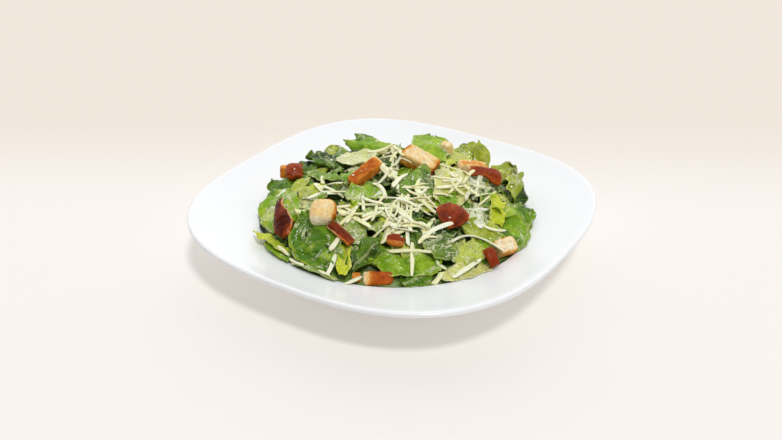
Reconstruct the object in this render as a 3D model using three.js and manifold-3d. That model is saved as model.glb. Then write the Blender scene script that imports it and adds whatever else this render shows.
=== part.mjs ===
// Caesar salad, served on a rounded-square rim plate.
// Millimetres, +Z up. The origin is on the table, under the middle of the plate.
//
// The plate stands square to the axes. The food is laid out for the diner, who sits
// on the -Y side of the serving group, and that group is turned on the plate.

import * as THREE from 'three';
import { mergeVertices } from 'three/addons/utils/BufferGeometryUtils.js';
import Module from 'manifold-3d';

const wasm = await Module();
wasm.setup();

// ---------------------------------------------------------------- driving dimensions

const PLATE_HALF = 140;         // half the plate's width across its flat sides
const PLATE_SQUARENESS = 2.79;  // superellipse exponent of the rim's outline
const CORNER_LIFT = 0.94;       // the corners stand this much above the mean, the sides below
const RIM_TOP = 45;             // the rim's outer edge above the table
const WELL_RADIUS = 102;        // the round well's edge
const WELL_TOP = 33;            // height of the well's edge
const WELL_FLOOR = 9;           // the eating surface
const LIP_THICKNESS = 3.2;      // the rim's outer edge
const FOOT_OUTER = 69;          // foot ring
const FOOT_INNER = 63;
const PLATE_SEGMENTS = 44;

const GAP = 0.4;                // clearance between neighbouring pieces
const SERVING_TURN = 32.43;     // degrees from the plate's axes to the diner's

const HEAP_EDGE = 37;           // height of the heap at the well's edge
const HEAP_RISE = 27;           // the heap's middle above its edge
const HEAP_REACH = 100;         // radius of the heap
const HEAP_BLUNTNESS = 3;       // power of the heap's profile: flat on top, steep at the edge
const CORE_UNEVEN = 9;          // height and depth of the lumps in the packed leaves
const CORE_DEPTH = 10;          // the packed leaves lie this far under the loose ones
const CORE_SEGMENTS = 28;

const LEAF_THICKNESS = 1.5;
const LEAF_ARCH = 0.05;         // rise of a leaf's middle, as a share of its length
const LEAF_STEP = 14;           // length of one row of faces along a leaf
const WIDE_LEAF = 31;           // leaves wider than this take more faces across
const CREASE_ROUND = 0.2;       // half of the rounded part of a fold, as a share of the half-width
const SHRED_WIDTH = 2.4;
const SHRED_THICKNESS = 2;
const SHRED_LIFT = 1.4;         // middle of a shred above the loose leaves
const CROUTON_UNEVEN = 0.3;     // taper and skew of a crouton, as a share of its width
const BACON_ARCH = 0.1;         // rise of a strip's middle, as a share of its length

// ---------------------------------------------------------------- closed solids

const radians = (degrees) => degrees * Math.PI / 180;

// A repeatable number from 0 to 1 for each whole number.
function share(index) {
  const wave = Math.sin(index * 127.1 + 11.7) * 43758.5453;
  return wave - Math.floor(wave);
}

function geometryOf(points, triangles) {
  const geometry = new THREE.BufferGeometry();
  geometry.setAttribute('position', new THREE.Float32BufferAttribute(points.flat(), 3));
  geometry.setIndex(triangles.flat());
  return geometry;
}

function solidOf(geometry) {
  const bare = geometry.clone();
  bare.deleteAttribute('normal');
  bare.deleteAttribute('uv');
  const merged = mergeVertices(bare);
  return new wasm.Manifold(new wasm.Mesh({
    numProp: 3,
    vertProperties: new Float32Array(merged.attributes.position.array),
    triVerts: new Uint32Array(merged.index.array),
  }));
}

function geometryFrom(solid) {
  const mesh = solid.getMesh();
  const geometry = new THREE.BufferGeometry();
  geometry.setAttribute('position', new THREE.BufferAttribute(mesh.vertProperties, 3));
  geometry.setIndex(new THREE.BufferAttribute(mesh.triVerts, 1));
  return geometry;
}

// The main body alone: loose scraps go, and hollows sealed inside it are filled.
function largestBody(solid) {
  const bodies = solid.decompose();
  bodies.sort((a, b) => b.volume() - a.volume());
  return bodies[0];
}

// A solid of revolution-like rings: each ring is a list of points, all of one length.
// The first and the last ring are shut with a fan about their middle point.
function loft(rings, firstMiddle, lastMiddle) {
  const count = rings[0].length;
  const points = rings.flat();
  const triangles = [];
  for (let i = 0; i + 1 < rings.length; i += 1) {
    for (let j = 0; j < count; j += 1) {
      const next = (j + 1) % count;
      const a = i * count + j;
      const b = i * count + next;
      triangles.push([a, a + count, b], [b, a + count, b + count]);
    }
  }
  const first = points.push(firstMiddle) - 1;
  const last = points.push(lastMiddle) - 1;
  const end = (rings.length - 1) * count;
  for (let j = 0; j < count; j += 1) {
    const next = (j + 1) % count;
    triangles.push([first, j, next], [last, end + next, end + j]);
  }
  return geometryOf(points, triangles);
}

// A slab: a grid of middle points, thickened both ways along one direction.
// Both faces are split into triangles alike, and the rim between them is shut.
function slab(grid, direction, thickness) {
  const rows = grid.length;
  const columns = grid[0].length;
  const offset = direction.clone().multiplyScalar(thickness / 2);
  const points = [];
  for (const side of [1, -1]) {
    for (const row of grid) {
      for (const point of row) {
        points.push(point.clone().addScaledVector(offset, side).toArray());
      }
    }
  }
  const under = rows * columns;
  const triangles = [];
  for (let i = 0; i + 1 < rows; i += 1) {
    for (let j = 0; j + 1 < columns; j += 1) {
      const a = i * columns + j;
      const b = a + columns;
      triangles.push([a, b + 1, b], [a, a + 1, b + 1]);
      triangles.push([under + a, under + b, under + b + 1], [under + a, under + b + 1, under + a + 1]);
    }
  }
  const border = [];
  for (let i = 0; i + 1 < rows; i += 1) border.push(i * columns);
  for (let j = 0; j + 1 < columns; j += 1) border.push((rows - 1) * columns + j);
  for (let i = rows - 1; i > 0; i -= 1) border.push(i * columns + columns - 1);
  for (let j = columns - 1; j > 0; j -= 1) border.push(j);
  for (let k = 0; k < border.length; k += 1) {
    const a = border[k];
    const b = border[(k + 1) % border.length];
    triangles.push([a, b, under + a], [b, under + b, under + a]);
  }
  return geometryOf(points, triangles);
}

// ---------------------------------------------------------------- plate

// A point of the rim, from the round well's edge (share 0) to the squared edge (share 1).
function rimPoint(angle, shareOut, height) {
  const c = Math.cos(angle);
  const s = Math.sin(angle);
  const bulge = Math.abs(c) ** PLATE_SQUARENESS + Math.abs(s) ** PLATE_SQUARENESS;
  const squared = PLATE_HALF * bulge ** (-1 / PLATE_SQUARENESS);
  const radius = WELL_RADIUS + (squared - WELL_RADIUS) * shareOut;
  const lift = -CORNER_LIFT * Math.cos(4 * angle) * Math.max(shareOut, 0);
  return [radius * c, radius * s, height + lift];
}

function roundPoint(angle, radius, height) {
  return [radius * Math.cos(angle), radius * Math.sin(angle), height];
}

// Profile of the plate's upper face, from the middle out: [radius, height] in the well
// and [share of the rim's width, height] on the rim.
const WELL_PROFILE = [
  [40, WELL_FLOOR], [74, WELL_FLOOR + 0.6], [87, WELL_FLOOR + 4.5],
  [95, WELL_FLOOR + 12], [99.6, WELL_FLOOR + 19.5],
];
const RIM_PROFILE = [
  [0.0, WELL_TOP - 0.6], [0.06, WELL_TOP + 0.6], [0.3, WELL_TOP + 3.2],
  [0.62, WELL_TOP + 7.2], [0.9, WELL_TOP + 11.4], [0.965, RIM_TOP],
];
const LIP_PROFILE = [
  [1.0, RIM_TOP - 1], [0.995, RIM_TOP - LIP_THICKNESS + 1], [0.96, RIM_TOP - LIP_THICKNESS - 0.6],
];
const UNDER_PROFILE = [
  [0.5, WELL_TOP + 1.6], [0.05, WELL_TOP - 6.2],
];
const BASE_PROFILE = [
  [99, 20], [92, 11.5], [82, 5.5], [FOOT_OUTER + 1, 3.6], [FOOT_OUTER, 0],
  [FOOT_INNER, 0], [FOOT_INNER - 1.5, 3],
];

// The plate's body. With grow above 0 its upper face comes in and up by that much,
// which is the space that the food has to leave free.
function plateGeometry(grow) {
  const rings = [];
  const angles = [];
  for (let k = 0; k < PLATE_SEGMENTS; k += 1) angles.push(2 * Math.PI * k / PLATE_SEGMENTS);
  for (const [radius, height] of WELL_PROFILE) {
    rings.push(angles.map((angle) => roundPoint(angle, radius - grow, height + grow)));
  }
  for (const [out, height] of RIM_PROFILE) {
    const rimGrow = grow / (PLATE_HALF - WELL_RADIUS);
    rings.push(angles.map((angle) => rimPoint(angle, out - rimGrow, height + grow)));
  }
  for (const [out, height] of [...LIP_PROFILE, ...UNDER_PROFILE]) {
    rings.push(angles.map((angle) => rimPoint(angle, out, height)));
  }
  for (const [radius, height] of BASE_PROFILE) {
    rings.push(angles.map((angle) => roundPoint(angle, radius, height)));
  }
  return loft(rings, [0, 0, WELL_FLOOR + grow], [0, 0, 3.2]);
}

// ---------------------------------------------------------------- the heap's form

function heapTop(x, y) {
  const out = Math.min(Math.hypot(x, y) / HEAP_REACH, 1);
  return HEAP_EDGE + HEAP_RISE * (1 - out ** HEAP_BLUNTNESS);
}

function heapNormal(x, y) {
  const step = 0.5;
  const slopeX = (heapTop(x + step, y) - heapTop(x - step, y)) / (2 * step);
  const slopeY = (heapTop(x, y + step) - heapTop(x, y - step)) / (2 * step);
  return new THREE.Vector3(-slopeX, -slopeY, 1).normalize();
}

// The packed leaves in the well, which carry the loose ones.
// The outline is uneven, and below the well's edge it runs inside the plate's wall,
// where the cut with the plate gives it the well's own shape.
function coreSolid() {
  let count = 0;
  const ring = (radius, height, uneven) => {
    const points = [];
    for (let k = 0; k < CORE_SEGMENTS; k += 1) {
      count += 1;
      const shift = 0.02 * uneven * (share(count + 300) - 0.5);
      const angle = 2 * Math.PI * (k + shift) / CORE_SEGMENTS;
      const out = radius + uneven * (share(count) - 0.5);
      const lump = uneven * (share(count + 600) - 0.5);
      points.push([out * Math.cos(angle), out * Math.sin(angle), height + lump]);
    }
    return points;
  };
  const rings = [];
  for (const radius of [16, 34, 52, 68, 80, 90]) {
    rings.push(ring(radius, heapTop(radius, 0) - CORE_DEPTH, CORE_UNEVEN));
  }
  rings.push(ring(99, WELL_TOP, 0), ring(99.5, WELL_TOP - 6, 0), ring(88, WELL_FLOOR + 2, 0));
  rings.push(ring(76, WELL_FLOOR - 2, 0));
  const top = heapTop(0, 0) - CORE_DEPTH;
  return solidOf(loft(rings, [0, 0, top], [0, 0, WELL_FLOOR - 2]));
}

// The frame of a piece that runs from one point to another over the heap. Lean 0 lays
// its face on the heap's slope; lean 1 stands it at the far edge with its face inward.
function pieceFrame(from, to, roll, lean) {
  const start = new THREE.Vector3(...from);
  const along = new THREE.Vector3(...to).sub(start);
  const length = along.length();
  along.normalize();
  const x = (from[0] + to[0]) / 2;
  const y = (from[1] + to[1]) / 2;
  const reach = Math.hypot(x, y) + 0.001;
  const inward = new THREE.Vector3(-0.8 * x / reach, -0.8 * y / reach, 0.6);
  const facing = heapNormal(x, y).multiplyScalar(1 - lean).addScaledVector(inward, lean);
  facing.addScaledVector(along, -facing.dot(along)).normalize();
  const across = new THREE.Vector3().crossVectors(along, facing);
  facing.applyAxisAngle(along, radians(roll));
  across.applyAxisAngle(along, radians(roll));
  return { start, along, across, facing, length };
}

// The height of a fold with a rounded crease, at share v of the half-width.
function crease(v) {
  return Math.hypot(v, CREASE_ROUND) - CREASE_ROUND;
}

// A smooth curve through evenly spaced values, at share t of its length.
function curveThrough(values, t) {
  const last = values.length - 1;
  const place = Math.min(Math.max(t, 0), 1) * last;
  const i = Math.min(Math.floor(place), last - 1);
  const f = place - i;
  const p0 = values[Math.max(i - 1, 0)];
  const p1 = values[i];
  const p2 = values[i + 1];
  const p3 = values[Math.min(i + 2, last)];
  return 0.5 * (2 * p1 + (p2 - p0) * f + (2 * p0 - 5 * p1 + 4 * p2 - p3) * f * f
    + (3 * p1 - p0 - 3 * p2 + p3) * f * f * f);
}

// ---------------------------------------------------------------- lettuce

// Half-widths of each kind of piece at even stations from its base to its tip,
// and the number of waves along its edges.
const LEAF_KINDS = {
  dark: { outline: [0.55, 0.92, 1.0, 0.86, 0.12], waves: 2 },
  green: { outline: [0.6, 0.95, 1.0, 0.82, 0.15], waves: 2.5 },
  bright: { outline: [0.7, 0.98, 1.0, 0.92, 0.35], waves: 1.5 },
  light: { outline: [0.5, 0.9, 1.0, 0.7, 0.08], waves: 3 },
  coated: { outline: [0.6, 0.95, 1.0, 0.85, 0.3], waves: 2.5 },
  dressed: { outline: [0.6, 0.95, 1.0, 0.85, 0.3], waves: 2.5 },
  yellow: { outline: [0.6, 1.0, 0.8, 0.95, 0.3], waves: 3.5 },
  frill: { outline: [0.55, 0.9, 1.0, 1.0, 0.45], waves: 4.5 },
  pale: { outline: [0.9, 1.0, 0.96, 0.9, 0.55], waves: 2 },
  rib: { outline: [0.8, 1.0, 0.95, 0.8, 0.5], waves: 1 },
};

// Torn romaine, laid by hand: base, tip, width, roll, lean, fold, ruffle, kind.
// Fold and ruffle are shares of the half-width; a negative fold ridges the midrib.
const LEAVES = [
  [[-43, -86, 40], [-66, -38, 55], 38, -8, 0, -0.2, 0.05, 'green'],
  [[-76, -44, 47], [-96, 13, 45], 33, 0, 0, -0.25, 0.1, 'coated'],
  [[-75, -67, 39], [-102, -40, 41], 10, 10, 0, -0.3, 0.1, 'yellow'],
  [[-74, -72, 36], [-94, -50, 37], 9, 0, 0, -0.3, 0.1, 'green'],
  [[-76, 2, 50], [-95, 22, 50], 24, 0, 0.3, -0.3, 0.15, 'dark'],
  [[-76, -8, 52], [-64, 12, 58], 10, 15, 0, 0.5, 0.05, 'rib'],
  [[-66, 26, 56], [-38, -4, 64], 14, -20, 0, -0.5, 0.1, 'bright'],
  [[-46, 26, 60], [-66, 70, 50], 26, 0, 0.5, -0.35, 0.12, 'dark'],
  [[-60, 34, 55], [-78, 64, 44], 22, 0, 0.5, -0.35, 0.15, 'dark'],
  [[-56, 74, 43], [-46, 88, 49], 14, 0, 1, -0.2, 0.3, 'light'],
  [[-1, 50, 60], [-41, 73, 60], 18, -12, 0.6, -0.4, 0.08, 'green'],
  [[-10, 62, 57], [-33, 77, 65], 12, 0, 1, -0.2, 0.15, 'green'],
  [[6, 46, 60], [-18, 73, 60], 9, 0, 0.6, -0.2, 0.25, 'dressed'],
  [[-15, 29, 63], [-46, 37, 60], 15, -20, 0, 0.3, 0.05, 'rib'],
  [[-33, -34, 62], [-10, -12, 65], 26, 0, 0, -0.2, 0.1, 'green'],
  [[-24, -54, 59], [-6, -42, 62], 12, 0, 0, -0.3, 0.1, 'green'],
  [[-24, -74, 51], [-40, -50, 58], 20, 0, 0, -0.15, 0.15, 'coated'],
  [[-35, -94, 37], [-34, -70, 50], 11, 0, 0, 0.4, 0.1, 'yellow'],
  [[-30, -90, 42], [-10, -70, 54], 18, 0, 0, -0.3, 0.08, 'dark'],
  [[32, -85, 43], [-18, -86, 44], 24, 0, 0, -0.45, 0.03, 'bright'],
  [[28, -94, 31], [-4, -96, 31], 12, 0, 0, -0.3, 0.05, 'dark'],
  [[27, 36, 62], [27, 93, 55], 34, 0, 0, -0.3, 0.15, 'green'],
  [[60, 70, 42], [52, 86, 49], 28, 0, 1, -0.1, 0.35, 'frill'],
  [[73, 62, 42], [68, 73, 61], 12, 0, 1, -0.3, 0.05, 'light'],
  [[76, 26, 47], [91, 46, 54.5], 30, 0, 0.6, -0.15, 0.2, 'light'],
  [[91, 0, 45], [98, 34, 52], 22, 20, 0, -0.4, 0.1, 'light'],
  [[91, 0, 42], [98, 14, 49], 14, 0, 0, -0.3, 0.15, 'dark'],
  [[82, -55, 39], [98, -5, 43], 27, 0, 0, -0.35, 0.08, 'bright'],
  [[96, -16, 40], [103, -6, 42], 12, 0, 0, -0.3, 0.2, 'bright'],
  [[75, -44, 46], [76, -10, 53], 13, 0, 0, 0.1, 0.35, 'yellow'],
  [[50, -52, 54], [67, -26, 54], 20, 0, 0, -0.2, 0.15, 'dressed'],
  [[80, -53, 41], [43, -53, 56.5], 21, -14, 0, -0.3, 0.08, 'light'],
  [[40, -34, 60], [42, 18, 62], 26, 0, 0, 0.15, 0.15, 'pale'],
  [[54, -4, 59], [74, 18, 53], 22, 0, 0, -0.2, 0.2, 'dressed'],
  [[1, -24, 65], [28, 18, 68], 15, 0, 0, -0.6, 0.03, 'dark'],
  [[26, -24, 63], [16, 8, 65], 20, 0, 0, -0.2, 0.08, 'coated'],
  [[38, -68, 52], [4, -64, 56], 24, 0, 0, -0.25, 0.06, 'dark'],
  [[40, -82, 45], [18, -66, 55], 22, 0, 0, -0.25, 0.08, 'coated'],
  [[62, -70, 44], [38, -82, 44], 18, 0, 0, -0.1, 0.35, 'frill'],
  [[66, -76, 34], [32, -94, 36], 14, 0, 0, -0.2, 0.3, 'pale'],
  [[-40, -97, 35], [-72, -77, 36], 4.5, 0, 0, -0.2, 0.15, 'coated'],
  [[-10, 26, 64], [12, 54, 61], 28, 0, 0, -0.25, 0.12, 'dark'],
  [[38, 38, 60], [62, 54, 54], 26, 0, 0, -0.2, 0.2, 'light'],
  [[-44, 36, 55], [-20, 62, 54], 26, 0, 0, -0.25, 0.12, 'coated'],
  [[-70, -16, 55], [-50, -5, 61], 15, 10, 0, 0.1, 0.1, 'light'],
  [[-62, -42, 55], [-52, -18, 61], 20, -15, 0, -0.2, 0.15, 'coated'],
  [[-40, 2, 62], [-22, 26, 64], 26, 12, 0, -0.25, 0.1, 'green'],
  [[16, -52, 58], [0, -36, 61], 22, -10, 0, -0.2, 0.12, 'coated'],
];

// The far side of the heap: a ring of leaves whose tips hang towards the well's edge.
const FAR_LEAVES = 9;
const FAR_START = -14;          // degrees
const FAR_SPAN = 204;
const FAR_WIDTH = 30;
const FAR_KINDS = ['green', 'coated', 'dark', 'light'];

function farLeaves() {
  const leaves = [];
  for (let k = 0; k < FAR_LEAVES; k += 1) {
    const angle = radians(FAR_START + FAR_SPAN * (k + 0.3 * share(k)) / FAR_LEAVES);
    const tipAngle = angle + 0.3 * (share(k + 20) - 0.5);
    const base = 56 + 8 * share(k + 40);
    const tip = 96 + 5 * share(k + 60);
    const tipHeight = HEAP_EDGE + 6 * share(k + 80);
    const from = [base * Math.cos(angle), base * Math.sin(angle), heapTop(base, 0)];
    const to = [tip * Math.cos(tipAngle), tip * Math.sin(tipAngle), tipHeight];
    const roll = 30 * (share(k + 100) - 0.5);
    const kind = FAR_KINDS[k % FAR_KINDS.length];
    leaves.push([from, to, FAR_WIDTH, roll, 0, -0.3, 0.2, kind]);
  }
  return leaves;
}

function leafSolid([from, to, width, roll, lean, fold, ruffle, kind]) {
  const frame = pieceFrame(from, to, roll, lean);
  const { outline, waves } = LEAF_KINDS[kind];
  const rows = Math.max(3, Math.round(frame.length / LEAF_STEP));
  const columns = width > WIDE_LEAF ? 4 : 2;
  const grid = [];
  for (let i = 0; i <= rows; i += 1) {
    const u = i / rows;
    const half = width / 2 * curveThrough(outline, u);
    const line = [];
    for (let j = 0; j <= columns; j += 1) {
      const v = 2 * j / columns - 1;
      const wave = Math.sin(2 * Math.PI * waves * u + (v > 0 ? 0 : 1.7));
      const rise = frame.length * LEAF_ARCH * 4 * u * (1 - u)
        + half * (fold * crease(v) + ruffle * Math.abs(v) ** 1.5 * wave);
      line.push(frame.start.clone()
        .addScaledVector(frame.along, frame.length * u)
        .addScaledVector(frame.across, half * v)
        .addScaledVector(frame.facing, rise));
    }
    grid.push(line);
  }
  return solidOf(slab(grid, frame.facing, LEAF_THICKNESS));
}

// ---------------------------------------------------------------- shredded cheese

// Shreds laid by hand over the heap: x and y of one end, of the other, and the sideways bend.
const SHREDS = [
  [-64, -21, -42, -17, 0], [-45, -31, -17, -68, 0], [-39, -33, -26, -52, 0],
  [-23, -57, -2, -62, 11], [-26, -38, -34, -61, 0], [-2, 15, 1, -25, 2],
  [-55, 8, -45, -16, -3], [1, 50, 2, -2, 3], [-4, 19, -1, -16, 0],
  [34, 30, 54, 9, 2], [18, -9, 29, -37, -8], [5, -28, 4, -67, 1],
  [-4, -37, 10, -60, 0], [5, -44, 21, -57, -4], [28, -49, 19, -71, 0],
  [19, -75, 40, -62, 4], [12, -74, 11, -98, 0], [-4, -73, 14, -61, 0],
  [30, -21, 50, -14, 2], [57, -31, 75, 0, 0], [39, -75, 77, -65, 9],
  [39, -93, 59, -82, 0],
];

function shredSolid([x1, y1, x2, y2, bend]) {
  const length = Math.hypot(x2 - x1, y2 - y1);
  const alongX = (x2 - x1) / length;
  const alongY = (y2 - y1) / length;
  const steps = length > 26 || bend !== 0 ? 3 : 2;
  const grid = [];
  for (let i = 0; i <= steps; i += 1) {
    const u = i / steps;
    const sideways = bend * 4 * u * (1 - u);
    const line = [];
    for (const edge of [-1, 1]) {
      const off = sideways + edge * SHRED_WIDTH / 2;
      const x = x1 + (x2 - x1) * u - alongY * off;
      const y = y1 + (y2 - y1) * u + alongX * off;
      line.push(new THREE.Vector3(x, y, heapTop(x, y) + SHRED_LIFT));
    }
    grid.push(line);
  }
  // The slab's rows run along the shred and its columns to the left, so down is its face.
  return solidOf(slab(grid, new THREE.Vector3(0, 0, -1), SHRED_THICKNESS));
}

// ---------------------------------------------------------------- croutons

// Toasted bread, cut in chunks: from end to end, width, thickness, roll, lean, and the
// power of the rounded box (2 is a ball, 8 has sharp edges).
const CROUTONS = [
  [[-33, -12, 64], [-11, 4, 76], 11, 8, 10, 0, 6],
  [[6, 27, 74], [31, 17, 63], 15, 13, 0, 0, 6],
  [[42, 62, 44], [40.5, 60, 65], 8.5, 9, 0, 1, 5],
  [[48, 27, 59], [71, 29, 56], 14, 12, 0, 0, 5],
  [[-60, -52, 63], [-41, -52, 62], 18, 18, 0, 0, 3],
  [[-90, 37, 50], [-81, 37, 50], 11, 10, 0, 0, 5],
  [[-22, -93, 34], [-1, -93, 34], 10, 7.5, 20, 0, 5],
  [[-29.5, -92.5, 34.5], [-23, -93, 34.5], 7, 6.5, 0, 0, 5],
  [[70.5, -61, 37.9], [85, -54, 38.9], 12, 11, 0, 0, 5],
];

// Each crouton tapers and leans a little, as torn bread does.
function croutonGeometry([from, to, width, thickness, roll, lean, power], index, grow) {
  const frame = pieceFrame(from, to, roll, lean);
  const taper = CROUTON_UNEVEN * (share(index * 5 + 1) - 0.5);
  const skew = CROUTON_UNEVEN * (share(index * 5 + 2) - 0.5);
  const geometry = new THREE.BoxGeometry(2, 2, 2, 3, 2, 2);
  const position = geometry.attributes.position;
  const middle = frame.start.clone().addScaledVector(frame.along, frame.length / 2);
  for (let i = 0; i < position.count; i += 1) {
    const x = position.getX(i);
    const y = position.getY(i);
    const z = position.getZ(i);
    const size = (Math.abs(x) ** power + Math.abs(y) ** power + Math.abs(z) ** power) ** (1 / power);
    const u = x / size;
    const point = middle.clone()
      .addScaledVector(frame.along, u * (frame.length / 2 + grow) + skew * y / size * width / 2)
      .addScaledVector(frame.across, -y / size * (width / 2 + grow) * (1 + taper * u))
      .addScaledVector(frame.facing, z / size * (thickness / 2 + grow));
    position.setXYZ(i, point.x, point.y, point.z);
  }
  return geometry;
}

// ---------------------------------------------------------------- bacon

// Fried bacon: from end to end, width, thickness, roll, lean, fold, and the outline's
// half-widths at even stations.
const BACON = [
  [[-83, 24, 56], [-71.5, 25, 57], 17, 7, 20, 0, -0.2, [0.85, 1.0, 0.9, 0.95]],
  [[-84, -21, 56], [-77, -55, 45], 17, 4, 10, 0, -0.35, [0.3, 0.35, 0.8, 1.0, 0.3]],
  [[-45, -61, 58], [-30, -78, 53], 7, 4, 0, 0, -0.2, [0.9, 1.0, 0.95, 0.8]],
  [[42.5, -42.5, 64], [37, -63, 57], 23, 3.4, 0, 0, -0.25, [0.5, 1.0, 0.95, 0.7, 0.12]],
  [[57, 11, 65], [80, 12, 58], 14, 3.6, 25, 0, -0.3, [0.7, 0.6, 0.55, 1.0, 0.9]],
  [[64, -71, 45], [69, -79, 36], 9, 5, 0, 0, -0.2, [0.8, 1.0, 0.9, 0.7]],
  [[-5, -76, 55], [6, -78, 54], 9, 5, 0, 0, -0.2, [0.6, 1.0, 0.9, 0.6]],
];

function baconGeometry([from, to, width, thickness, roll, lean, fold, outline], grow) {
  const frame = pieceFrame(from, to, roll, lean);
  const rows = 6;
  const columns = 2;
  const grid = [];
  for (let i = 0; i <= rows; i += 1) {
    const u = i / rows;
    const half = width / 2 * curveThrough(outline, u) + grow;
    const line = [];
    for (let j = 0; j <= columns; j += 1) {
      const v = 2 * j / columns - 1;
      const rise = frame.length * BACON_ARCH * 4 * u * (1 - u) + half * fold * crease(v);
      line.push(frame.start.clone()
        .addScaledVector(frame.along, (frame.length + 2 * grow) * u - grow)
        .addScaledVector(frame.across, half * v)
        .addScaledVector(frame.facing, rise));
    }
    grid.push(line);
  }
  return slab(grid, frame.facing, thickness + 2 * grow);
}

// ---------------------------------------------------------------- fitting together

// Toppings that lie above the loose leaves around them.
const HIGH_TOPPINGS = [CROUTONS[1], CROUTONS[2], CROUTONS[5], BACON[3], BACON[4]];

// A lump of packed leaves from the core up into the middle of a topping, which beds it.
function beddingSolid([from, to, width]) {
  const x = (from[0] + to[0]) / 2;
  const y = (from[1] + to[1]) / 2;
  const top = (from[2] + to[2]) / 2;
  const bottom = heapTop(x, y) - CORE_DEPTH - 8;
  const geometry = new THREE.CylinderGeometry(width * 0.25, width * 0.5, top - bottom, 5);
  geometry.rotateX(Math.PI / 2);
  geometry.translate(x, y, (top + bottom) / 2);
  return solidOf(geometry);
}

function saladGeometry() {
  const pieces = [coreSolid()];
  for (const leaf of [...LEAVES, ...farLeaves()]) pieces.push(leafSolid(leaf));
  for (const shred of SHREDS) pieces.push(shredSolid(shred));
  for (const topping of HIGH_TOPPINGS) pieces.push(beddingSolid(topping));
  let heap = pieces[0];
  for (const piece of pieces.slice(1)) heap = heap.add(piece);

  const plateSpace = plateGeometry(GAP).rotateZ(-radians(SERVING_TURN));
  heap = heap.subtract(solidOf(plateSpace));
  CROUTONS.forEach((row, index) => {
    heap = heap.subtract(solidOf(croutonGeometry(row, index, GAP)));
  });
  BACON.forEach((row) => {
    heap = heap.subtract(solidOf(baconGeometry(row, GAP)));
  });
  return geometryFrom(largestBody(heap));
}

// ---------------------------------------------------------------- materials and scene

const porcelain = () => new THREE.MeshStandardMaterial({ color: 0xf4f4f6, roughness: 0.12 });
const lettuce = () => new THREE.MeshStandardMaterial({ color: 0x5f9a2e, roughness: 0.45 });
const toast = () => new THREE.MeshStandardMaterial({ color: 0xcf8a45, roughness: 0.8 });
const friedBacon = () => new THREE.MeshStandardMaterial({ color: 0x8a2a1c, roughness: 0.45 });

function addMesh(parent, name, geometry, material) {
  geometry.computeVertexNormals();
  const mesh = new THREE.Mesh(geometry, material);
  mesh.name = name;
  parent.add(mesh);
}

const group = new THREE.Group();
addMesh(group, 'plate', plateGeometry(0), porcelain());

const serving = new THREE.Group();
serving.rotation.z = radians(SERVING_TURN);
group.add(serving);
addMesh(serving, 'salad', saladGeometry(), lettuce());
CROUTONS.forEach((row, index) => {
  addMesh(serving, `crouton_${index + 1}`, croutonGeometry(row, index, 0), toast());
});
BACON.forEach((row, index) => {
  addMesh(serving, `bacon_${index + 1}`, baconGeometry(row, 0), friedBacon());
});

export default group;
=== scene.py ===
import math

import bmesh
import bpy
import numpy as np
from mathutils import Matrix, Vector
from mathutils.bvhtree import BVHTree


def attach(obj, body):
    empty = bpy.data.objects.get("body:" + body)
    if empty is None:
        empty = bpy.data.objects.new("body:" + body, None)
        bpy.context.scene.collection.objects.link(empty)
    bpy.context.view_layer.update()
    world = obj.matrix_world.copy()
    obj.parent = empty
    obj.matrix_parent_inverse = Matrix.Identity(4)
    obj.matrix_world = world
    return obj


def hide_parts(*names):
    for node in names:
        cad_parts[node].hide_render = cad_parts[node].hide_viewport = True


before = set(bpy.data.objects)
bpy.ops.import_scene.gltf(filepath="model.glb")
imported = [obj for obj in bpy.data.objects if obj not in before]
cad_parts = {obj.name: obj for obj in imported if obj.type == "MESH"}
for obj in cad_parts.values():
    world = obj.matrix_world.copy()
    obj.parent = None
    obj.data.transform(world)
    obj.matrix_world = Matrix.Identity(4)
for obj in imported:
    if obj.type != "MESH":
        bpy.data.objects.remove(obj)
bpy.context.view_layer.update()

# ------------------------------------------------------------------ plate
# A rim plate of white hard porcelain: round well, wide rim that squares off towards its
# rolled lip, foot ring below. It is pressed in a mould, dipped in clear glaze and fired,
# and only the ring that it stands on stays unglazed.

PLATE_HALF = 140.0
PLATE_SQUARENESS = 2.79
CORNER_LIFT = 0.94
WELL_RADIUS = 102.0
PLATE_ROUND, PLATE_RINGS = ((240, 190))
# radius at the rim's foot, share of the rim's width, height
PLATE_PROFILE = [
    (0, 0, 9), (40, 0, 9), (74, 0, 9.6), (87, 0, 13.5), (95, 0, 21), (99.6, 0, 28.5),
    (102, 0, 32.4), (102, 0.06, 33.6), (102, 0.3, 36.2), (102, 0.62, 40.2), (102, 0.9, 44.4),
    (102, 0.965, 45), (102, 1, 44), (102, 0.995, 42.8), (102, 0.96, 41.2), (102, 0.5, 34.6),
    (102, 0.05, 26.8), (99, 0, 20), (92, 0, 11.5), (82, 0, 5.5), (70, 0, 3.6), (69, 0, 0.2),
    (67.5, 0, 0), (64.5, 0, 0), (63, 0, 0.2), (61.5, 0, 3), (30, 0, 3.2), (0, 0, 3.2),
]


def curve_through(values, places):
    """A smooth curve through evenly spaced values, at shares of its length."""
    values = np.asarray(values, float)
    last = len(values) - 1
    place = np.clip(places, 0, 1) * last
    i = np.minimum(place.astype(int), last - 1)
    f = place - i
    if values.ndim > 1:
        f = f[..., None]
    p0, p1 = values[np.maximum(i - 1, 0)], values[i]
    p2, p3 = values[i + 1], values[np.minimum(i + 2, last)]
    bend = (2 * p0 - 5 * p1 + 4 * p2 - p3) * f**2 + (3 * p1 - p0 - 3 * p2 + p3) * f**3
    return 0.5 * (2 * p1 + (p2 - p0) * f + bend)


def grid_faces(rows, columns, closed=False, start=0):
    """The quads between the points of a grid. A closed grid joins its last column to its first."""
    i = np.arange(rows - 1)[:, None] * columns
    j = np.arange(columns if closed else columns - 1)[None, :]
    k = (j + 1) % columns
    quads = np.stack([i + j, i + k, i + columns + k, i + columns + j], -1)
    return quads.reshape(-1, 4) + start


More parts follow.
